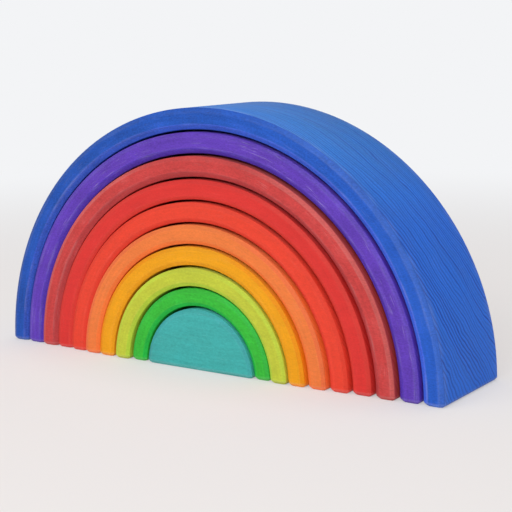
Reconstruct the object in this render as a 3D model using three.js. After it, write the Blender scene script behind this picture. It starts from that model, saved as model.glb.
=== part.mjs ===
// Wooden counting rainbow: nine nested arches standing over a solid half disc.
// Every piece is a loose block of stained wood with chamfered edges, and nothing fastens it.
// Millimetres, +Z up. X runs along the row of feet and the front faces look towards -Y.
// The origin lies on the floor, under the middle of the set.
import * as THREE from 'three';

// Driving dimensions
const CORE_RADIUS = 46.6;
const SMALLEST_ARCH_THICKNESS = 13;
const THICKNESS_GROWTH = 0.3; // added to each arch, from the inside out
const NEST_GAP = 1.7; // loose fit between one piece and the next
const DEPTH = 86; // front to back, the same for every piece
const FOOT_TRIM = 1.5; // the feet are sawn off this far above the centre of the arcs
const EDGE_CHAMFER_WIDTH = 2.6; // across the front and back faces
const EDGE_CHAMFER_DEPTH = 1.7; // back from those faces
const FOOT_CHAMFER = 3; // along the two sides of each foot
const ARC_DIVISIONS = 18; // an arc gets two facets for each

// Pieces from the inside out. proud is how far a front face stands forward of the outermost one.
// lean is how far a piece stands to the right in the loose gap round it, from -1 to 1 of that gap.
const CORE = { name: 'teal_half_disc', colour: '#46aaa7', proud: 4, lean: 0.5 };
const ARCHES = [
  { name: 'green_arch', colour: '#3cb943', proud: 3, lean: 0.1 },
  { name: 'lime_arch', colour: '#c1c844', proud: 5, lean: 0.3 },
  { name: 'yellow_arch', colour: '#f3a228', proud: 4.5, lean: -0.45 },
  { name: 'orange_arch', colour: '#f08044', proud: 4, lean: -0.45 },
  { name: 'scarlet_arch', colour: '#ec4c3a', proud: 2.5, lean: -0.35 },
  { name: 'red_arch', colour: '#de3f3c', proud: 1, lean: -0.65 },
  { name: 'rust_arch', colour: '#c84846', proud: 1.5, lean: -0.35 },
  { name: 'violet_arch', colour: '#6a4bb4', proud: 0, lean: -0.2 },
  { name: 'blue_arch', colour: '#325ab9', proud: 0, lean: 0 },
];

// Satin stain on bare wood
const STAIN_ROUGHNESS = 0.6;

// The set as a whole is centred on the origin from front to back, and on the outermost arch sideways.
const PROUD_VALUES = [CORE, ...ARCHES].map((piece) => piece.proud);
const MIDDLE_PROUD = (Math.max(...PROUD_VALUES) + Math.min(...PROUD_VALUES)) / 2;

// The arc of a given radius between its two foot chamfers, and where the foot's sole begins.
function arcEnds(radius, soleSide) {
  const angle = Math.asin((FOOT_CHAMFER + FOOT_TRIM) / radius);
  const soleX = radius * Math.cos(angle) + soleSide * FOOT_CHAMFER;
  return { angle, soleX };
}

// Outline of the half disc: along its sole, then over its rim.
function halfDiscOutline(radius) {
  const rim = arcEnds(radius, -1);
  const outline = new THREE.Shape();
  outline.moveTo(-rim.soleX, 0);
  outline.lineTo(rim.soleX, 0);
  outline.absarc(0, -FOOT_TRIM, radius, rim.angle, Math.PI - rim.angle, false);
  outline.closePath();
  return outline;
}

// Outline of an arch: across one foot, over its outside, across the other foot, back under its inside.
function archOutline(innerRadius, outerRadius) {
  const outside = arcEnds(outerRadius, -1);
  const inside = arcEnds(innerRadius, 1);
  const outline = new THREE.Shape();
  outline.moveTo(inside.soleX, 0);
  outline.lineTo(outside.soleX, 0);
  outline.absarc(0, -FOOT_TRIM, outerRadius, outside.angle, Math.PI - outside.angle, false);
  outline.lineTo(-outside.soleX, 0);
  outline.lineTo(-inside.soleX, 0);
  outline.absarc(0, -FOOT_TRIM, innerRadius, Math.PI - inside.angle, inside.angle, true);
  outline.closePath();
  return outline;
}

// A block of wood sawn to an outline, with flat chamfers round its front and back faces.
// aside is where its middle stands along X.
function woodenPiece(piece, outline, aside) {
  const geometry = new THREE.ExtrudeGeometry(outline, {
    depth: DEPTH - 2 * EDGE_CHAMFER_DEPTH,
    curveSegments: ARC_DIVISIONS,
    bevelThickness: EDGE_CHAMFER_DEPTH,
    bevelSize: EDGE_CHAMFER_WIDTH,
    bevelOffset: -EDGE_CHAMFER_WIDTH,
    bevelSegments: 1,
  });
  const material = new THREE.MeshStandardMaterial({
    color: piece.colour,
    roughness: STAIN_ROUGHNESS,
    metalness: 0,
  });
  const mesh = new THREE.Mesh(geometry, material);
  mesh.name = piece.name;
  // The sawn outline stands up, and the depth of the block then runs forward from its back face.
  mesh.rotation.x = Math.PI / 2;
  mesh.position.x = aside;
  mesh.position.y = DEPTH / 2 - EDGE_CHAMFER_DEPTH - (piece.proud - MIDDLE_PROUD);
  return mesh;
}

// Outer radii from the inside out
const outerRadii = [CORE_RADIUS];
ARCHES.forEach((arch, index) => {
  const thickness = SMALLEST_ARCH_THICKNESS + index * THICKNESS_GROWTH;
  outerRadii.push(outerRadii[index] + NEST_GAP + thickness);
});

// Pieces from the outside in, each standing in the gap that the one round it leaves
const rainbow = new THREE.Group();
let aside = 0;
for (let index = ARCHES.length; index > 0; index -= 1) {
  const arch = ARCHES[index - 1];
  aside += arch.lean * NEST_GAP;
  const outline = archOutline(outerRadii[index - 1] + NEST_GAP, outerRadii[index]);
  rainbow.add(woodenPiece(arch, outline, aside));
}
aside += CORE.lean * NEST_GAP;
rainbow.add(woodenPiece(CORE, halfDiscOutline(CORE_RADIUS), aside));

export default rainbow;
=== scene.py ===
"""Looks of a wooden counting rainbow: stained arches nested over a half disc, on a pale studio floor."""
import logging
import math
from dataclasses import dataclass, field
from enum import Enum
from typing import Any, ClassVar, Union

import bmesh
import bpy
from mathutils import Matrix, Vector, noise


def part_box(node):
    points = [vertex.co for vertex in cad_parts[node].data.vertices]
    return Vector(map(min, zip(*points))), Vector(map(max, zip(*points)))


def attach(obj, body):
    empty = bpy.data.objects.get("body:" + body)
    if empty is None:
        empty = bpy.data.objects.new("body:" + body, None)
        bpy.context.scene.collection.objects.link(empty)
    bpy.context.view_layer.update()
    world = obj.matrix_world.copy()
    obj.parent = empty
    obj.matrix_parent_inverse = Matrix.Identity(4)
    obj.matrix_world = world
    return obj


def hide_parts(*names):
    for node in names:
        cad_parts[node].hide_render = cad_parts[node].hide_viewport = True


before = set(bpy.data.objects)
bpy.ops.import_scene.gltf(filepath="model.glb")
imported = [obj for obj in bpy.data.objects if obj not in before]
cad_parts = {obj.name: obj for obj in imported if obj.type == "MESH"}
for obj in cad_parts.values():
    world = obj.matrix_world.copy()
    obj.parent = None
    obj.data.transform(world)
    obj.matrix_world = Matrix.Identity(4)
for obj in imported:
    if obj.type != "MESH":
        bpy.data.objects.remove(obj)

log = logging.getLogger("rainbow")

MM = 0.001
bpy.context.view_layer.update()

Mesh = bmesh.types.BMesh
Socket = bpy.types.NodeSocket
Number = Union["Signal", float, int]
Colour = tuple[float, float, float]
Triple = tuple[float, float, float]
Span = tuple[float, float]
Where = tuple[Number, Number, Number]


def linear(hex_colour: str) -> Colour:
    """Turn a written colour into linear light, by the standard curve of screens.

    Args:
        hex_colour: six hexadecimal digits, as on a colour card.

    Returns:
        Red, green and blue from 0 to 1 in linear light.
    """
    levels = [int(hex_colour[i:i + 2], 16) / 255 for i in (0, 2, 4)]
    return tuple(v / 12.92 if v <= 0.04045 else ((v + 0.055) / 1.055) ** 2.4 for v in levels)


def deeper(colour: Colour, level: float, power: float = 1.0) -> Colour:
    """Make a colour deeper.

    Args:
        colour: a colour in linear light.
        level: how bright it stays, from 0 to 1.
        power: how much richer it gets, 1 for not at all.

    Returns:
        The deeper colour in linear light.
    """
    return tuple(level * v ** power for v in colour)


def whiter(colour: Colour, share: float) -> Colour:
    """Mix a colour with white.

    Args:
        colour: a colour in linear light.
        share: how much of white.

    Returns:
        The paler colour in linear light.
    """
    return tuple(v + (1.0 - v) * share for v in colour)


class Zone(Enum):
    """Kinds of surface on a wooden piece, each with the mesh attribute that marks it."""

    CHAMFER = "chamfer"
    CURVED = "curved"


class ShaderGraph:
    """The node tree of a material or world, with one way to add a node and short names for the common ones."""

    # Places of the colour sockets on a Mix node, which has others of the same names
    MIX_SHARE: ClassVar[int] = 0
    MIX_FIRST: ClassVar[int] = 6
    MIX_SECOND: ClassVar[int] = 7
    MIX_RESULT: ClassVar[int] = 2

    def __init__(self, owner: bpy.types.Material | bpy.types.World) -> None:
        """Empty the owner's node tree.

        Args:
            owner: the material or world that the nodes belong to.
        """
        owner.use_nodes = True
        self.tree = owner.node_tree
        self.tree.nodes.clear()

    def node(self, kind: str, settings: dict[str, Any] | None = None, **sockets: Any) -> bpy.types.Node:
        """Add a node.

        Args:
            kind: the node's type, without the ShaderNode in front.
            settings: properties that are set before the sockets.
            **sockets: values or links by socket name, with _ for a space.

        Returns:
            The new node.
        """
        made = self.tree.nodes.new("ShaderNode" + kind)
        for key, value in (settings or {}).items():
            setattr(made, key, value)
        for key, value in sockets.items():
            self.plug(made.inputs[key.replace("_", " ")], value)
        return made

    def plug(self, socket: Socket, value: Any) -> None:
        """Link a signal or socket into a socket, or set a plain value on it.

        Args:
            socket: the input that takes the value.
            value: a Signal, an output socket, a number, or a colour or vector.
        """
        if isinstance(value, Signal):
            value = value.socket
        if isinstance(value, Socket):
            self.tree.links.new(value, socket)
        elif socket.type == "RGBA" and len(value) == 3:
            socket.default_value = (*value, 1.0)
        else:
            socket.default_value = value

    def math(self, operation: str, *values: Number) -> "Signal":
        """Add a Math node.

        Args:
            operation: the Math node's operation.
            *values: up to three signals or numbers.

        Returns:
            The result as a signal.
        """
        made = self.node("Math", {"operation": operation})
        for socket, value in zip(made.inputs, values):
            self.plug(socket, value)
        return Signal(self, made.outputs[0])

    def ease(self, value: "Signal", low: float, high: float) -> "Signal":
        """Ease a signal from 0 at low to 1 at high.

        Args:
            value: the signal.
            low: where the result is 0.
            high: where the result is 1.

        Returns:
            The eased signal, held between 0 and 1.
        """
        settings = {"interpolation_type": "SMOOTHSTEP"}
        made = self.node("MapRange", settings, Value=value, From_Min=low, From_Max=high)
        return Signal(self, made.outputs["Result"])

    def vector(self, x: Number, y: Number, z: Number) -> Socket:
        """Join three signals or numbers into a vector."""
        return self.node("CombineXYZ", X=x, Y=y, Z=z).outputs[0]

    def noise(self, place: Socket, detail: float, roughness: float) -> "Signal":
        """Sample smooth noise, about 0.5 on average.

        Args:
            place: where to sample, in noise cells.
            detail: number of finer layers.
            roughness: weight of the finer layers.

        Returns:
            The noise as a signal.
        """
        made = self.node("TexNoise", Vector=place, Scale=1.0, Detail=detail, Roughness=roughness)
        return Signal(self, made.outputs[0])

    def attribute(self, zone: Zone) -> "Signal":
        """Read the mesh attribute that marks a kind of surface."""
        return Signal(self, self.node("Attribute", {"attribute_name": zone.value}).outputs["Fac"])

    def mix(self, share: Number, first: Any, second: Any) -> Socket:
        """Mix two colours.

        Args:
            share: how much of the second colour.
            first: colour or link.
            second: colour or link.

        Returns:
            The mixed colour's socket.
        """
        made = self.node("Mix", {"data_type": "RGBA"})
        self.plug(made.inputs[self.MIX_SHARE], share)
        self.plug(made.inputs[self.MIX_FIRST], first)
        self.plug(made.inputs[self.MIX_SECOND], second)
        return made.outputs[self.MIX_RESULT]

    def scaled(self, colour: Any, amount: Number) -> Socket:
        """Brighten or darken a colour.

        Args:
            colour: colour or link.
            amount: what it is multiplied by.

        Returns:
            The changed colour's socket.
        """
        made = self.node("VectorMath", {"operation": "SCALE"}, Scale=amount)
        self.plug(made.inputs[0], colour)
        return made.outputs[0]

    def seen(self) -> "Signal":
        """Tell the rays that show a background to the eye from those that carry its light.

        Returns:
            1 for what the eye sees straight, in a reflection or through glass, and 0 for light.
        """
        rays = self.node("LightPath").outputs
        kinds = ("Is Camera Ray", "Is Glossy Ray", "Is Transmission Ray")
        straight, glossy, through = (Signal(self, rays[kind]) for kind in kinds)
        return straight.larger(glossy).larger(through)

    def shade(self, share: Number, first: bpy.types.Node, second: bpy.types.Node) -> Socket:
        """Mix two shaders.

        Args:
            share: how much of the second shader.
            first: the first shader's node.
            second: the second shader's node.

        Returns:
            The mixed shader's socket.
        """
        made = self.node("MixShader")
        for socket, value in zip(made.inputs, (share, first.outputs[0], second.outputs[0])):
            self.plug(socket, value)
        return made.outputs[0]


class Signal:
    """A number that varies over a surface. Arithmetic on it adds Math nodes."""

    def __init__(self, graph: ShaderGraph, socket: Socket) -> None:
        """Wrap an output socket of a graph."""
        self.graph = graph
        self.socket = socket

    def __add__(self, other: Number) -> "Signal":
        """Signal plus a signal or number."""
        return self.graph.math("ADD", self, other)

    __radd__ = __add__

    def __sub__(self, other: Number) -> "Signal":
        """Signal minus a signal or number."""
        return self.graph.math("SUBTRACT", self, other)

    def __rsub__(self, other: Number) -> "Signal":
        """A number minus the signal."""
        return self.graph.math("SUBTRACT", other, self)

    def __mul__(self, other: Number) -> "Signal":
        """Signal times a signal or number."""
        return self.graph.math("MULTIPLY", self, other)

    __rmul__ = __mul__

    def __truediv__(self, other: Number) -> "Signal":
        """Signal divided by a signal or number."""
        return self.graph.math("DIVIDE", self, other)

    def __abs__(self) -> "Signal":
        """Size of the signal without its sign."""
        return self.graph.math("ABSOLUTE", self)

    def root(self) -> "Signal":
        """Square root of the signal."""
        return self.graph.math("SQRT", self)

    def whole(self) -> "Signal":
        """Whole part of the signal."""
        return self.graph.math("FLOOR", self)

    def fraction(self) -> "Signal":
        """What is left of the signal after its whole part."""
        return self.graph.math("FRACT", self)

    def larger(self, other: Number) -> "Signal":
        """The larger of the signal and another."""
        return self.graph.math("MAXIMUM", self, other)

    def capped(self, most: float) -> "Signal":
        """The signal, held at most at a value."""
        return self.graph.math("MINIMUM", self, most)


@dataclass(frozen=True)
class Mottle:
    """Smooth noise in cells of one size.

    Attributes:
        cell: size of a cell along each of three directions, in millimetres.
        detail: number of finer layers.
        roughness: weight of the finer layers.
        seeded: which of the three directions a piece's seed moves the noise along.
    """

    cell: Triple
    detail: float = 2.0
    roughness: float = 0.6
    seeded: int = 0

    def level(self, graph: ShaderGraph, place: Where, seed: float) -> Signal:
        """Sample the noise.

        Args:
            graph: the material's nodes.
            place: where to sample along each direction, in millimetres.
            seed: how many cells the noise is moved.

        Returns:
            The noise, about 0.5 on average.
        """
        cells = [along / size for along, size in zip(place, self.cell)]
        cells[self.seeded] = cells[self.seeded] + seed
        return graph.noise(graph.vector(*cells), self.detail, self.roughness)

    def swing(self, graph: ShaderGraph, place: Where, seed: float) -> Signal:
        """Sample the noise as in level, but about 0 on average."""
        return self.level(graph, place, seed) - 0.5


class Spot:
    """A place on a wooden block as signals, in millimetres, and the kind of surface there.

    Attributes:
        graph: the material's nodes.
        shape: the block's sizes.
        x: place along the set, from the middle of the block's arcs.
        y: place front to back.
        z: height.
        radius: distance from the middle of the arcs.
        run: distance along the arcs, as measured on the outside.
        high: 0 on the upright sides, rising to 1 at the top.
        topmost: 0 below the crown, rising to 1 at the top.
        behind: distance behind the front face.
        chamfer: 1 on a chamfer and 0 elsewhere.
        curved: 1 on a sawn curve or at a sole, and 0 elsewhere.
        face: 1 on a broad face and 0 elsewhere.
    """

    # Heights, as shares of the radius, between which the shoulder rises and the crown begins
    SHOULDER: ClassVar[Span] = (0.55, 1.0)
    CROWN: ClassVar[Span] = (0.88, 0.99)

    def __init__(self, graph: ShaderGraph, shape: "Block") -> None:
        """Read the coordinates and the marked faces of a block's mesh.

        Args:
            graph: the material's nodes.
            shape: the block's sizes.
        """
        self.graph = graph
        self.shape = shape
        axes = graph.node("SeparateXYZ", Vector=graph.node("TexCoord").outputs["Object"]).outputs
        x, self.y, self.z = (Signal(graph, axis) / MM for axis in axes)
        self.x = x - shape.middle / MM
        above = self.z + shape.trim / MM
        self.radius = (self.x * self.x + above * above).root()
        self.run = graph.math("ARCTAN2", above, self.x) * (shape.outer / MM)
        self.high = graph.ease(above / self.radius, *self.SHOULDER)
        self.topmost = graph.ease(above / self.radius, *self.CROWN)
        self.behind = self.y - shape.front / MM
        self.chamfer = graph.attribute(Zone.CHAMFER)
        self.curved = graph.attribute(Zone.CURVED)
        self.face = 1 - (self.chamfer + self.curved).capped(1)

    def place(self) -> Where:
        """Place along the set, front to back, and up."""
        return self.x, self.y, self.z

    def stroke(self) -> Where:
        """Place across the brush strokes, along them, and front to back."""
        return (self.radius, self.run, self.y) if self.shape.inner else (self.z, self.x, self.y)

    def outside(self) -> Signal:
        """0 on the inner half of the block and 1 on the outer half, easing over two millimetres."""
        midway = self.shape.midway() / MM
        return self.graph.ease(self.radius, midway - 1, midway + 1)

    def ridge(self, reach: Span, outer_share: float) -> Signal:
        """Find the two ridges where a face turns into its chamfers.

        Args:
            reach: distances from a ridge between which its nearness ends.
            outer_share: nearness on the outer ridge of an arch.

        Returns:
            1 on the inner ridge, or on a solid block's only one, falling to 0 away from the ridges.
        """
        near = [1 - self.graph.ease(abs(self.radius - at / MM), *reach) for at in self.shape.ridges()]
        return near[0] if len(near) == 1 else (near[0] * outer_share).larger(near[1])

    def foot(self, reach: Span) -> Signal:
        """1 on the ridge above a sole's chamfer, ending between two distances from it."""
        return 1 - self.graph.ease(abs(self.z - self.shape.foot_chamfer / MM), *reach)

    def brink(self, reach: Span) -> Signal:
        """0 well inside a sawn curve, rising to 1 between two distances from its front or back edge."""
        half = (self.shape.back - self.shape.front) / 2 / MM
        return self.graph.ease(abs(self.behind - half), *(half - distance for distance in reach))


@dataclass(frozen=True)
class Marks:
    """Marks of growth, brush and sandpaper at a place, as signals.

    Attributes:
        blotch: large soft patches, about 0.
        fibre: short fibres along the board, about 0.
        speck: pores, about 0.
        brush: soft brush marks along the piece, about 0.
        ring: 0 in the early wood, rising towards 1 in each late-wood line.
        flow: uneven stain that follows the rings, about 0.
        ridge: 1 on a face's inner ridge and less on its outer one, 0 away from both.
    """

    blotch: Signal
    fibre: Signal
    speck: Signal
    brush: Signal
    ring: Signal
    flow: Signal
    ridge: Signal


@dataclass(frozen=True)
class Figure:
    """Year rings of the board. Its heart runs along the set, above and behind it. Sizes are in millimetres.

    Attributes:
        spacing: from one ring to the next.
        back: how far behind the middle of the set the heart lies.
        back_step: how much further back it lies for each step of a piece's seed.
        height: height of the heart.
        fall: how far the heart comes down for each millimetre to the right.
        sway: slow wandering of the rings.
        sway_reach: how far it moves them.
        ripple: quick wandering of the rings.
        ripple_reach: how far it moves them.
        darkens: shares of a year between which the late wood darkens.
        ends: shares of a year between which the late wood ends.
        faintest: strength of the faintest year's line.
        flow: uneven stain that follows the rings, counted in years along its first direction.
    """

    spacing: float = 3.0
    back: float = 115.0
    back_step: float = 3.0
    height: float = 145.0
    fall: float = 0.05
    sway: Mottle = Mottle((120.0, 60.0, 70.0), detail=1.0, roughness=0.5)
    sway_reach: float = 24.0
    ripple: Mottle = Mottle((40.0, 12.0, 13.0), detail=1.0, roughness=0.5)
    ripple_reach: float = 4.0
    darkens: Span = (0.35, 0.78)
    ends: Span = (0.84, 1.0)
    faintest: float = 0.3
    flow: Mottle = Mottle((1 / 1.1, 50.0, 40.0), detail=3.0, roughness=0.7, seeded=1)

    def years(self, spot: Spot, seed: float) -> Signal:
        """Count the year rings from the heart out to a place.

        Args:
            spot: the place.
            seed: the piece's place in the noise.

        Returns:
            The number of rings, with its fraction.
        """
        sway = self.sway.level(spot.graph, spot.place(), seed) * self.sway_reach
        ripple = self.ripple.level(spot.graph, spot.place(), seed) * self.ripple_reach
        behind = spot.y - (self.back + self.back_step * seed)
        below = spot.z - self.height + spot.x * self.fall
        return ((behind * behind + below * below).root() + sway + ripple) / self.spacing

    def rings(self, years: Signal, seed: float) -> Signal:
        """Draw the rings, each as dark as its year made it.

        Args:
            years: number of rings from the heart.
            seed: the piece's place in the noise.

        Returns:
            0 in the early wood, rising towards 1 in each late-wood line.
        """
        graph = years.graph
        chance = graph.node("TexWhiteNoise", {"noise_dimensions": "1D"}, W=years.whole() + seed)
        growth = years.fraction()
        line = graph.ease(growth, *self.darkens) * (1 - graph.ease(growth, *self.ends))
        return line * (Signal(graph, chance.outputs["Value"]) * (1 - self.faintest) + self.faintest)


@dataclass(frozen=True)
class Brushwork:
    """Pale lines that the bristles and the sandpaper leave along a piece.

    Attributes:
        wander: noise that bends the lines.
        wander_reach: how far it moves them, in millimetres.
        line: noise of the single lines.
        line_levels: noise levels between which a line shows.
        patch: noise of the patches that have lines.
        patch_levels: noise levels between which a patch has them.
        chamfer_share: how strongly the lines show on the chamfers.
        curve_share: how strongly they show on the sawn curves.
    """

    wander: Mottle = Mottle((26.0, 1.0, 20.0), detail=1.0, roughness=0.5, seeded=1)
    wander_reach: float = 3.0
    line: Mottle = Mottle((0.6, 15.0, 6.0))
    line_levels: Span = (0.55, 0.74)
    patch: Mottle = Mottle((6.0, 24.0, 30.0), detail=1.0, roughness=0.5)
    patch_levels: Span = (0.42, 0.66)
    chamfer_share: float = 0.45
    curve_share: float = 0.2

    def streaks(self, spot: Spot, seed: float) -> Signal:
        """Draw the lines.

        Args:
            spot: the place on the piece.
            seed: the piece's place in the noise.

        Returns:
            0 between the lines, up to 1 in them.
        """
        graph = spot.graph
        across, along, y = spot.stroke()
        wander = self.wander.level(graph, (along, 0.0, y), seed) * self.wander_reach
        line = graph.ease(self.line.level(graph, (across + wander, along, y), seed), *self.line_levels)
        patch = graph.ease(self.patch.level(graph, (across, along, y), seed), *self.patch_levels)
        return line * patch * (spot.face + self.chamfer_share * spot.chamfer + self.curve_share * spot.curved)


@dataclass(frozen=True)
class Sanding:
    """Paler wood where sandpaper and hands take the stain off. Distances are in millimetres.

    Attributes:
        reach: distances from a face's ridge between which the sanding ends.
        outer_share: how much of it the outer ridge of an arch gets.
        patch: noise of the sanded patches.
        patch_levels: noise levels between which a patch is sanded.
        seed_step: noise cells from one piece's patches to the next one's.
        crown_loss: how much less is taken at the top of the arc.
        foot_reach: distances from the ridge above a sole between which its sanding ends.
        foot: how much is taken there.
        brink_reach: distances from the edge of a sawn curve between which its sanding ends.
        brink: how much is taken there.
        brink_levels: levels of the blotches between which it shows.
    """

    reach: Span = (0.2, 1.5)
    outer_share: float = 0.4
    patch: Mottle = Mottle((8.0, 30.0, 20.0), detail=3.0, seeded=1)
    patch_levels: Span = (0.36, 0.72)
    seed_step: float = 3.0
    crown_loss: float = 0.6
    foot_reach: Span = (0.3, 1.6)
    foot: float = 0.12
    brink_reach: Span = (9.0, 2.0)
    brink: float = 0.16
    brink_levels: Span = (-0.2, 0.2)

    def bare(self, spot: Spot, marks: Marks, stain: "Stain") -> Signal:
        """Find how bare the wood is.

        Args:
            spot: the place on the piece.
            marks: the marks there.
            stain: the finish, for how much is worn.

        Returns:
            0 where the stain is whole, rising with what is taken off.
        """
        graph = spot.graph
        patch = self.patch.level(graph, (spot.radius, spot.run, spot.y), self.seed_step * stain.seed)
        ridges = marks.ridge * graph.ease(patch, *self.patch_levels) * stain.worn
        ridges = ridges * (1 - spot.curved) * (1 - self.crown_loss * spot.high)
        brinks = spot.brink(self.brink_reach) * graph.ease(marks.blotch, *self.brink_levels)
        feet = spot.foot(self.foot_reach) * self.foot
        return ridges + feet + brinks * spot.curved * (self.brink * stain.grain)


@dataclass(frozen=True)
class Tone:
    """How much each thing changes the brightness of a stain, painted light and shade among them.

    Attributes:
        blotch: share of the large patches.
        fibre: share of the fibres.
        brush: share of the soft brush marks.
        speck: share of the pores.
        curve_loss: how much less patches, fibres and brush marks show on the sawn curves.
        curve_speck_loss: how much less the pores show there.
        drift_face: share of the drift to the right on the faces.
        drift_chamfer: what the chamfers have on top, painted light from the right.
        flow: share of the uneven stain that follows the rings.
        low: how much brighter the sawn curves are at the floor, painted light.
        low_height: height in millimetres at which that ends.
        behind: painted shade at the crown, as the loss for each millimetre from front to back.
        ring: loss in the rings.
    """

    blotch: float = 0.36
    fibre: float = 0.2
    brush: float = 0.34
    speck: float = 0.5
    curve_loss: float = 0.6
    curve_speck_loss: float = 0.3
    drift_face: float = 0.5
    drift_chamfer: float = 0.4
    flow: float = 0.5
    low: float = 0.22
    low_height: float = 130.0
    behind: float = 0.0042
    ring: float = 0.03

    def brightness(self, spot: Spot, marks: Marks, stain: "Stain") -> Signal:
        """Add up what changes the brightness.

        Args:
            spot: the place on the piece.
            marks: the marks there.
            stain: the finish, for its drift and unevenness.

        Returns:
            The brightness, about 1.
        """
        right = spot.x / (spot.shape.outer / MM)
        # Where it lies on the chamfers, the drift to the right is painted light from the right.
        drift = right * (self.drift_face + self.drift_chamfer * spot.chamfer) * stain.drift
        broad = marks.blotch * self.blotch + marks.fibre * self.fibre + marks.brush * self.brush
        pores = marks.speck * self.speck * (1 - self.curve_speck_loss * spot.curved)
        taken = broad * (1 - self.curve_loss * spot.curved) + pores
        # Painted light: the sawn curves are brightened towards the floor.
        low = 1 - spot.graph.ease(spot.z, 0.0, self.low_height)
        sawn = marks.flow * spot.curved * self.flow + low * spot.curved * self.low
        # Painted shade: the crown of the sawn curves darkens towards the back.
        behind = spot.behind * spot.curved * spot.high * self.behind
        return 1 + drift + taken * stain.uneven + sawn - marks.ring * self.ring - behind


@dataclass(frozen=True)
class Stain:
    """Water stain brushed onto bare wood and sanded back on the ridges.

    Attributes:
        face: colour of the broad faces.
        deep: colour where the stain sinks in more, on the chamfers along the inside.
        edge: colour of the chamfers along the outside.
        side: colour of the sawn curves where they stand upright.
        crown: colour of the sawn curves at the top of the arc, painted top light and sheen on the blue arch,
            where it is paler than the side.
        brushed: strength of the pale streaks that the brush leaves.
        worn: how far the ridges are sanded back to paler wood.
        uneven: how unevenly the wood takes the stain, about 1.
        seed: place in the noise, so that no two pieces match.
        grain: how strongly the year rings and worn edges show on the sawn curves.
        drift: how much brighter the colour gets from the middle to the right foot, painted light from the
            right where it lies on the chamfers.
        figure: the year rings.
        brushwork: the pale streaks.
        sanding: the bare places.
        tone: what changes the brightness.
    """

    face: str
    deep: str
    edge: str
    side: str
    crown: str
    brushed: float
    worn: float
    uneven: float
    seed: float
    grain: float = 0.3
    drift: float = 0.0
    figure: Figure = Figure()
    brushwork: Brushwork = Brushwork()
    sanding: Sanding = Sanding()
    tone: Tone = Tone()

    # Noise of the marks that every piece has
    BLOTCH: ClassVar[Mottle] = Mottle((26.0, 22.0, 20.0), roughness=0.5)
    FIBRE: ClassVar[Mottle] = Mottle((6.0, 1.2, 1.2), seeded=2)
    SPECK: ClassVar[Mottle] = Mottle((1.7, 0.9, 0.9), detail=1.0, seeded=2)
    BRUSH: ClassVar[Mottle] = Mottle((2.4, 50.0, 24.0))

    # Share of the slopes' stain on them and where it sinks into a face, and the outer slope at the crown,
    # darkened there by painted shade
    SLOPE_SHARE: ClassVar[float] = 0.95
    SUNK_SHARE: ClassVar[float] = 0.35
    SUNK_LEVELS: ClassVar[Span] = (-0.02, 0.30)
    CROWN_SHARE: ClassVar[float] = 0.9
    CROWN_SHADE_LEVEL: ClassVar[float] = 0.86

    # Level and richness of the ring lines' colour, and how much fainter they are at the crown and the floor
    RING_LEVEL: ClassVar[float] = 0.81
    RING_POWER: ClassVar[float] = 1.45
    RING_CROWN_LOSS: ClassVar[float] = 0.2
    RING_FLOOR_LOSS: ClassVar[float] = 0.4
    RING_FLOOR_HEIGHT: ClassVar[float] = 30.0

    # Bare wood: how white it is, and the most of it that shows
    BARE_WHITE: ClassVar[float] = 0.42
    BARE_MOST: ClassVar[float] = 0.8

    # Relief and gloss
    FIBRE_RELIEF: ClassVar[float] = 0.6
    RING_RELIEF: ClassVar[float] = 0.4
    SPECK_RELIEF: ClassVar[float] = 0.3
    RELIEF_STRENGTH: ClassVar[float] = 0.3
    RELIEF_DEPTH: ClassVar[float] = 0.3 * MM
    ROUGHNESS: ClassVar[float] = 0.62
    BLOTCH_ROUGHNESS: ClassVar[float] = 0.2
    RIDGE_POLISH: ClassVar[float] = 0.08
    GLOSS: ClassVar[float] = 0.2

    def material(self, name: str, shape: "Block") -> bpy.types.Material:
        """Make the material for one piece.

        Args:
            name: the material's name.
            shape: the piece's sizes, for what follows its arc and ridges.

        Returns:
            The finished material.
        """
        material = bpy.data.materials.new(name)
        graph = ShaderGraph(material)
        spot = Spot(graph, shape)
        marks = self.marks(spot)
        height = marks.fibre * self.FIBRE_RELIEF - marks.ring * spot.curved * self.RING_RELIEF
        height = height + marks.speck * self.SPECK_RELIEF
        bump = graph.node("Bump", Height=height, Strength=self.RELIEF_STRENGTH, Distance=self.RELIEF_DEPTH)
        rough = self.ROUGHNESS + marks.blotch * self.BLOTCH_ROUGHNESS - marks.ridge * self.RIDGE_POLISH
        shader = graph.node(
            "BsdfPrincipled", Base_Color=self.colour(spot, marks), Roughness=rough, Normal=bump.outputs[0],
            Specular_IOR_Level=self.GLOSS,
        )
        graph.node("OutputMaterial", Surface=shader.outputs[0])
        return material

    def marks(self, spot: Spot) -> Marks:
        """Sample the marks of growth, brush and sandpaper.

        Args:
            spot: the place on the piece.

        Returns:
            The marks there.
        """
        graph = spot.graph
        years = self.figure.years(spot, self.seed)
        return Marks(
            blotch=self.BLOTCH.swing(graph, spot.place(), self.seed),
            fibre=self.FIBRE.swing(graph, spot.place(), self.seed),
            speck=self.SPECK.swing(graph, spot.place(), self.seed),
            brush=self.BRUSH.swing(graph, spot.stroke(), self.seed),
            ring=self.figure.rings(years, self.seed),
            flow=self.figure.flow.swing(graph, (years, spot.x, spot.z), self.seed),
            ridge=spot.ridge(self.sanding.reach, self.sanding.outer_share),
        )

    def base(self, spot: Spot, marks: Marks) -> Socket:
        """Give each kind of surface its colour.

        Args:
            spot: the place on the piece.
            marks: the marks there.

        Returns:
            The colour before grain, brush marks and wear.
        """
        graph = spot.graph
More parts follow.
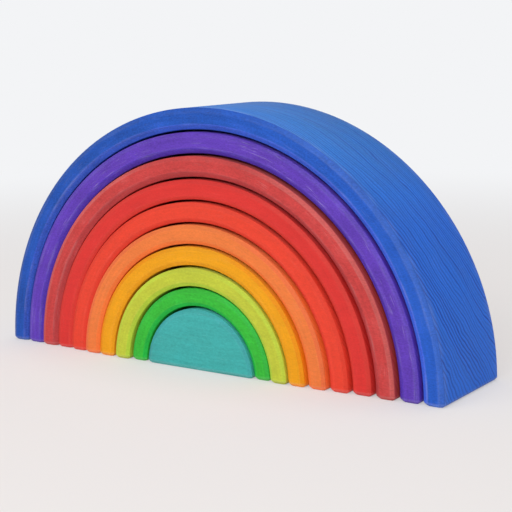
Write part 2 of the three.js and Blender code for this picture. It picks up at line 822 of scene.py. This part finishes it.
        # Painted shade: at the top of the arc the outer slope is darker than the face.
        shaded_crown_slope = deeper(linear(self.face), self.CROWN_SHADE_LEVEL)
        outer_slope = graph.mix(self.CROWN_SHARE * spot.topmost, linear(self.edge), shaded_crown_slope)
        slope = graph.mix(spot.outside(), linear(self.deep), outer_slope)
        sunk = spot.face * graph.ease(marks.blotch, *self.SUNK_LEVELS) * self.SUNK_SHARE
        flat = graph.mix((spot.chamfer * self.SLOPE_SHARE + sunk).capped(1), linear(self.face), slope)
        # On the blue arch the crown colour is painted top light and sheen.
        sawn = graph.mix(spot.high, linear(self.side), linear(self.crown))
        return graph.mix(spot.curved, flat, sawn)

    def colour(self, spot: Spot, marks: Marks) -> Socket:
        """Lay grain, brush marks and wear over the colours of the surfaces.

        Args:
            spot: the place on the piece.
            marks: the marks there.

        Returns:
            The finished colour.
        """
        graph = spot.graph
        toned = graph.scaled(self.base(spot, marks), self.tone.brightness(spot, marks, self))
        floor = 1 - graph.ease(spot.z, 0.0, self.RING_FLOOR_HEIGHT)
        shown = (1.0 - self.RING_CROWN_LOSS * spot.high - self.RING_FLOOR_LOSS * floor) * self.grain
        ring_colour = deeper(linear(self.side), self.RING_LEVEL, self.RING_POWER)
        lined = graph.mix(marks.ring * spot.curved * shown, toned, ring_colour)
        streaks = self.brushwork.streaks(spot, self.seed) * self.brushed
        pale = (streaks + self.sanding.bare(spot, marks, self)).capped(self.BARE_MOST)
        return graph.mix(pale, lined, whiter(linear(self.face), self.BARE_WHITE))


@dataclass
class Block:
    """A loose wooden block that is sawn along arcs about one middle and stands on flat soles.

    Attributes:
        node: the CAD node that the block replaces.
        stain: its finish.
        inner: radius of the hollow, 0 for a solid block.
        trim: how far above the middle of its arcs the soles are sawn.
        outer_chamfer: width and depth of the chamfer along the outside.
        inner_chamfer: width and depth of the chamfer along the inside.
        foot_chamfer: size of the chamfer round each sole.
        foot_step: height of the one long facet at each foot, in sizes of the foot chamfer.
        softness: rounding of every ridge.
        sharp: angle between two faces, in radians, above which their ridge is rounded.
        steps: facets round the half circle.
        sanding: how far hand sanding moves a ridge along the face.
        sanding_length: distance along a ridge over which that changes.
        inset: how far the dressed block stays within the CAD solid.
        middle: where the middle of its arcs stands along X.
        front: where its front face stands along Y.
        back: where its back face stands along Y.
        outer: radius of the outside.
    """

    node: str
    stain: Stain
    inner: float = 0.0
    trim: float = 1.5 * MM
    outer_chamfer: Span = (2.9 * MM, 1.15 * MM)
    inner_chamfer: Span = (2.85 * MM, 1.7 * MM)
    foot_chamfer: float = 1.9 * MM
    foot_step: float = 1.6
    softness: float = 0.45 * MM
    sharp: float = math.radians(16)
    steps: int = 96
    sanding: float = 0.3 * MM
    sanding_length: float = 24 * MM
    inset: float = 0.03 * MM
    middle: float = field(init=False)
    front: float = field(init=False)
    back: float = field(init=False)
    outer: float = field(init=False)

    # Points this close are one point, and faces that turn by less than this are one face
    MERGED: ClassVar[float] = 0.001 * MM
    FLAT: ClassVar[float] = 0.002

    # How far down a sole looks, and how near a point on a face or a ridge has to be
    DOWNWARD: ClassVar[float] = -0.999
    ON_FACE: ClassVar[float] = 0.01 * MM
    ON_RIDGE: ClassVar[float] = 0.2 * MM

    # How squarely to the front or back a chamfer looks, and the most that a slope at a sole does
    SLOPING: ClassVar[Span] = (0.25, 0.985)
    SOLE_SLOPE: ClassVar[float] = 0.9

    def __post_init__(self) -> None:
        """Take the outer radius, the middle and the front and back from the CAD node's box."""
        low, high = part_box(self.node)
        self.middle = (low.x + high.x) / 2
        self.front = low.y
        self.back = high.y
        self.outer = high.z + self.trim - self.inset

    def ridges(self) -> list[float]:
        """Radii at which the faces turn into their chamfers."""
        outside = self.outer - self.outer_chamfer[0]
        return [outside, self.inner + self.inner_chamfer[0]] if self.inner else [outside]

    def midway(self) -> float:
        """Radius halfway between the inside and the outside."""
        return (self.inner + self.outer) / 2

    def section(self) -> list[Span]:
        """List the corners of the block's section, from the front's inside round to the back's inside.

        Returns:
            Radius and depth of each corner.
        """
        wide, deep = self.outer_chamfer
        outside = [
            (self.outer - wide, self.front), (self.outer, self.front + deep),
            (self.outer, self.back - deep), (self.outer - wide, self.back),
        ]
        if not self.inner:
            return [(0.0, self.front), *outside, (0.0, self.back)]
        wide, deep = self.inner_chamfer
        return [
            (self.inner, self.front + deep), (self.inner + wide, self.front), *outside,
            (self.inner + wide, self.back), (self.inner, self.back - deep),
        ]

    def build(self) -> bpy.types.Object:
        """Model the block, dress it and put it in the CAD node's place.

        Returns:
            The finished object.
        """
        mesh = bmesh.new()
        self.turn(mesh)
        self.saw(mesh)
        self.sand(mesh)
        self.soften(mesh)
        self.mark(mesh)
        data = bpy.data.meshes.new(self.node + "_wood")
        mesh.to_mesh(data)
        mesh.free()
        piece = bpy.data.objects.new(self.node + "_wood", data)
        bpy.context.scene.collection.objects.link(piece)
        data.materials.append(self.stain.material(self.node + "_stain", self))
        piece.modifiers.new("broad_faces_flat", "WEIGHTED_NORMAL")
        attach(piece, self.node)
        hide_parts(self.node)
        self.node.split("_")[0] + "_stain"
        return piece

    def turn(self, mesh: Mesh) -> None:
        """Turn the section round the arc's middle, with one long first and last step for the feet.

        Args:
            mesh: the empty mesh that takes the shape.
        """
        points = [mesh.verts.new((self.middle + r, y, -self.trim)) for r, y in self.section()]
        pairs = list(zip(points, points[1:]))
        if self.inner:
            pairs.append((points[-1], points[0]))
        geometry = points + [mesh.edges.new(pair) for pair in pairs]
        foot = math.asin((self.trim + self.foot_step * self.foot_chamfer) / (self.inner or self.outer))
        for angle, steps in ((foot, 1), (math.pi - 2 * foot, self.steps), (foot, 1)):
            turned = bmesh.ops.spin(
                mesh, geom=geometry, cent=(self.middle, 0, -self.trim), axis=(0, -1, 0),
                angle=angle, steps=steps,
            )
            geometry = turned["geom_last"]
        bmesh.ops.remove_doubles(mesh, verts=mesh.verts, dist=self.MERGED)

    def saw(self, mesh: Mesh) -> None:
        """Saw the soles flat and chamfer round them.

        Args:
            mesh: the turned shape.
        """
        everything = [*mesh.verts, *mesh.edges, *mesh.faces]
        bmesh.ops.bisect_plane(mesh, geom=everything, plane_no=(0, 0, -1), clear_outer=True, dist=self.MERGED)
        bmesh.ops.holes_fill(mesh, edges=[edge for edge in mesh.edges if edge.is_boundary])
        bmesh.ops.dissolve_limit(mesh, angle_limit=self.FLAT, verts=mesh.verts, edges=mesh.edges)
        bmesh.ops.recalc_face_normals(mesh, faces=mesh.faces)
        lowest = [face for face in mesh.faces if face.calc_center_median().z < MM]
        soles = {face for face in lowest if face.normal.z < self.DOWNWARD}
        rim = [edge for edge in mesh.edges if soles.intersection(edge.link_faces)]
        bmesh.ops.bevel(
            mesh, geom=rim, offset=self.foot_chamfer, affect="EDGES", segments=1, profile=0.5,
            material=-1,
        )

    def sand(self, mesh: Mesh) -> None:
        """Let the chamfers' ridges wander a little along the faces, as hand sanding leaves them.

        Args:
            mesh: the sawn shape.
        """
        for vert in mesh.verts:
            on_face = min(abs(vert.co.y - self.front), abs(vert.co.y - self.back)) < self.ON_FACE
            outward = Vector((vert.co.x - self.middle, 0, vert.co.z + self.trim))
            near_ridge = any(abs(outward.length - ridge) < self.ON_RIDGE for ridge in self.ridges())
            if on_face and near_ridge and vert.co.z > 2 * self.foot_chamfer:
                sway = noise.noise(vert.co / self.sanding_length + Vector((self.stain.seed, 0, 0)))
                vert.co += outward.normalized() * (self.sanding * sway)

    def soften(self, mesh: Mesh) -> None:
        """Round every ridge slightly.

        Args:
            mesh: the sanded shape.
        """
        mesh.normal_update()
        ridges = [e for e in mesh.edges if len(e.link_faces) == 2 and e.calc_face_angle() > self.sharp]
        bmesh.ops.bevel(
            mesh, geom=ridges, offset=self.softness, affect="EDGES", segments=2, profile=0.5, material=-1,
            clamp_overlap=True,
        )

    def mark(self, mesh: Mesh) -> None:
        """Mark what each face of the mesh is, for the stain.

        Args:
            mesh: the finished shape.
        """
        mesh.normal_update()
        chamfer = mesh.faces.layers.float.new(Zone.CHAMFER.value)
        curved = mesh.faces.layers.float.new(Zone.CURVED.value)
        least, most = self.SLOPING
        for face in mesh.faces:
            face.smooth = True
            facing = abs(face.normal.y)
            sole_slope = face.calc_center_median().z < self.foot_chamfer and facing < self.SOLE_SLOPE
            face[chamfer] = 1.0 if least < facing < most and not sole_slope else 0.0
            face[curved] = 1.0 if facing <= least or sole_slope else 0.0


@dataclass
class Rainbow:
    """The whole set: a half disc and the arches round it, nested with one loose gap.

    Attributes:
        gap: loose fit between one piece and the next.
        rim: width and depth of the chamfer along the outside of the outermost arch.
        broad: width and depth of the chamfer along the inside of the outer arches.
        broad_count: how many of the outer arches have the broad chamfer.
    """

    gap: float = 1.7 * MM
    rim: Span = (3.4 * MM, 1.9 * MM)
    broad: Span = (3.7 * MM, 2.7 * MM)
    broad_count: int = 3

    def stains(self) -> dict[str, Stain]:
        """List the finishes.

        Returns:
            The finish of each piece by CAD node, from the inside out.
        """
        return {
            "teal_half_disc": Stain(
                face="41acaa", deep="339fa2", edge="3ea2a5", side="42adab", crown="4ab2b2",
                brushed=0.08, worn=0.06, uneven=0.85, seed=1.0,
            ),
            "green_arch": Stain(
                face="37b93a", deep="22bb45", edge="36b743", side="37b93a", crown="30b04c",
                brushed=0.08, worn=0.02, uneven=1.0, seed=2.0,
            ),
            "lime_arch": Stain(
                face="bec83e", deep="b5d13f", edge="bacf41", side="bec83e", crown="b4c84c",
                brushed=0.05, worn=0.02, uneven=0.7, seed=3.0,
            ),
            "yellow_arch": Stain(
                face="eaa015", deep="eea116", edge="e38e09", side="f0981c", crown="e09c2c",
                brushed=0.05, worn=0.02, uneven=0.6, seed=4.0,
            ),
            "orange_arch": Stain(
                face="e97c3e", deep="f47b3b", edge="e36e3e", side="f47c3a", crown="de7444",
                brushed=0.10, worn=0.02, uneven=0.55, seed=5.0,
            ),
            "scarlet_arch": Stain(
                face="e44430", deep="e34331", edge="da3e2b", side="e34430", crown="d64838",
                brushed=0.06, worn=0.02, uneven=0.5, seed=6.0,
            ),
            "red_arch": Stain(
                face="d63531", deep="db3e36", edge="d13932", side="d63531", crown="c84040",
                brushed=0.05, worn=0.02, uneven=0.5, seed=7.0,
            ),
            "rust_arch": Stain(
                face="c34140", deep="b54042", edge="c35855", side="c34240", crown="b04a48",
                brushed=0.18, worn=0.14, uneven=1.0, seed=8.0,
            ),
            "violet_arch": Stain(
                face="5e3cb3", deep="5237b6", edge="5d43b1", side="5e3cb3", crown="6448b0",
                brushed=0.34, worn=0.2, uneven=1.35, seed=9.0,
            ),
            # The blue arch's paler crown is painted top light and sheen, and its drift paints light from the
            # right on its chamfers.
            "blue_arch": Stain(
                face="1f54b5", deep="395ecf", edge="2f59ae", side="2767cc", crown="2d7aca",
                brushed=0.10, worn=0.2, uneven=1.5, seed=10.0, grain=1.0, drift=0.3,
            ),
        }

    def build(self) -> list[bpy.types.Object]:
        """Build every piece from the inside out.

        Returns:
            The finished objects.
        """
        pieces = []
        inner = 0.0
        stains = self.stains()
        outer_nodes = list(stains)[-self.broad_count:]
        for node, stain in stains.items():
            block = Block(node, stain, inner)
            if node in outer_nodes:
                block.inner_chamfer = self.broad
            if node == outer_nodes[-1]:
                block.outer_chamfer = self.rim
            pieces.append(block.build())
            inner = block.outer + block.inset + self.gap
        return pieces


@dataclass(frozen=True)
class Paper:
    """Pale paper that runs into a white background.

    Attributes:
        near: its colour round the set.
        far: the background's colour.
        glow: share of the background's colour right at the set.
        fade: distances between which the paper turns into the background, in metres.
        fineness: cells of the paper's own grain to a metre.
        mottled: how much that grain changes its brightness.
        roughness: how matt it is.
        gloss: how much it reflects.
    """

    near: str = "e2d9d4"
    far: str = "f3f4f6"
    glow: float = 0.45
    fade: Span = (0.2, 1.4)
    fineness: float = 900.0
    mottled: float = 0.03
    roughness: float = 0.9
    gloss: float = 0.1

    def material(self) -> bpy.types.Material:
        """Make the floor's material.

        Returns:
            The finished material, which keeps the shadow of what stands on it.
        """
        material = bpy.data.materials.new("pale_paper")
        graph = ShaderGraph(material)
        axes = graph.node("SeparateXYZ", Vector=graph.node("TexCoord").outputs["Object"]).outputs
        x, y = Signal(graph, axes[0]), Signal(graph, axes[1])
        away = graph.ease((x * x + y * y).root(), *self.fade)
        cell = graph.vector(x * self.fineness, y * self.fineness, 0)
        grain = graph.noise(cell, detail=2.0, roughness=0.6) - 0.5
        tone = graph.scaled(linear(self.near), 1 + grain * self.mottled)
        paper = graph.node(
            "BsdfPrincipled", Base_Color=tone, Roughness=self.roughness, Specular_IOR_Level=self.gloss,
        )
        white = graph.node("Emission", Color=linear(self.far), Strength=1.0)
        share = graph.seen() * (self.glow + away * (1 - self.glow))
        graph.node("OutputMaterial", Surface=graph.shade(share, paper, white))
        return material


@dataclass
class Studio:
    """A round pale floor, a soft sky and three large lamps.

    Attributes:
        paper: finish of the floor.
        reach: radius of the floor in metres.
        sides: straight sides of the floor's edge.
        sky: level of the light from all round.
        key: place and power of the lamp at the front, on the viewer's side.
        fill: place and power of the lamp at the front, on the other side.
        top: place and power of the lamp overhead.
        size: side of each lamp in metres.
        aim: what the lamps look at.
    """

    paper: Paper = Paper()
    reach: float = 9.0
    sides: int = 96
    sky: float = 0.36
    key: tuple[Triple, float] = ((0.7, -1.78, 1.2), 22.0)
    fill: tuple[Triple, float] = ((-1.0, -1.9, 1.5), 13.0)
    top: tuple[Triple, float] = ((0.0, 0.1, 2.0), 14.0)
    size: float = 1.2
    aim: Triple = (0.0, 0.0, 0.08)

    def build(self) -> None:
        """Make the floor, the sky and the lamps."""
        self.floor()
        self.surround()
        self.lamp("key_light", *self.key)
        self.lamp("fill_light", *self.fill)
        self.lamp("top_light", *self.top)

    def floor(self) -> None:
        """Make the floor as one round sheet."""
        mesh = bmesh.new()
        bmesh.ops.create_circle(mesh, cap_ends=True, segments=self.sides, radius=self.reach)
        data = bpy.data.meshes.new("floor")
        mesh.to_mesh(data)
        mesh.free()
        floor = bpy.data.objects.new("floor", data)
        bpy.context.scene.collection.objects.link(floor)
        data.materials.append(self.paper.material())

    def surround(self) -> None:
        """Light the set evenly from all round, and show the eye a white background."""
        world = bpy.data.worlds.new("surround")
        graph = ShaderGraph(world)
        light = graph.node("Background", Color=(1.0, 1.0, 1.0), Strength=self.sky)
        white = graph.node("Background", Color=linear(self.paper.far), Strength=1.0)
        graph.node("OutputWorld", Surface=graph.shade(graph.seen(), light, white))
        bpy.context.scene.world = world

    def lamp(self, name: str, place: Triple, power: float) -> None:
        """Hang a square lamp that looks at the set.

        Args:
            name: the lamp's name.
            place: where it hangs.
            power: its power in watts.
        """
        data = bpy.data.lights.new(name, "AREA")
        data.size = self.size
        data.energy = power
        lamp = bpy.data.objects.new(name, data)
        lamp.location = place
        lamp.rotation_euler = (Vector(self.aim) - Vector(place)).to_track_quat("-Z", "Y").to_euler()
        bpy.context.scene.collection.objects.link(lamp)


@dataclass
class Viewpoint:
    """The camera, where the photograph was taken from.

    Attributes:
        azimuth: degrees round from the front, towards the right.
        elevation: degrees above the horizon.
        roll: degrees that the camera leans.
        distance: from the target.
        target: what the camera looks at.
        focal: focal length in pixels of the square picture.
        picture: side of the picture in pixels.
        sensor: width of the sensor in millimetres.
        nearest: distance at which the view begins.
    """

    azimuth: float = 34.25
    elevation: float = 9.72
    roll: float = -0.74
    distance: float = 924 * MM
    target: Triple = (32.6 * MM, -20.5 * MM, 83.2 * MM)
    focal: float = 1305.0
    picture: float = 512.0
    sensor: float = 36.0
    nearest: float = 10 * MM

    def build(self) -> None:
        """Set up the camera and make it the scene's."""
        data = bpy.data.cameras.new("viewpoint")
        data.sensor_width = self.sensor
        data.lens = self.focal / self.picture * self.sensor
        data.clip_start = self.nearest
        camera = bpy.data.objects.new("viewpoint", data)
        turn = Matrix.Rotation(math.radians(self.azimuth), 4, "Z")
        tilt = Matrix.Rotation(math.radians(90 - self.elevation), 4, "X")
        lean = Matrix.Rotation(math.radians(self.roll), 4, "Z")
        back = Matrix.Translation((0, 0, self.distance))
        camera.matrix_world = Matrix.Translation(self.target) @ turn @ tilt @ lean @ back
        bpy.context.scene.collection.objects.link(camera)
        bpy.context.scene.camera = camera


def main() -> None:
    """Build the set, the studio and the camera."""
    logging.basicConfig(level=logging.INFO, format="%(message)s")
    bpy.context.scene.view_settings.view_transform = "Standard"
    Viewpoint().build()
    for piece in Rainbow().build():
        log.info("%s: %d faces, %s", piece.name, len(piece.data.polygons), piece.data.materials[0].name)
    Studio().build()


if __name__ == "__main__":
    main()
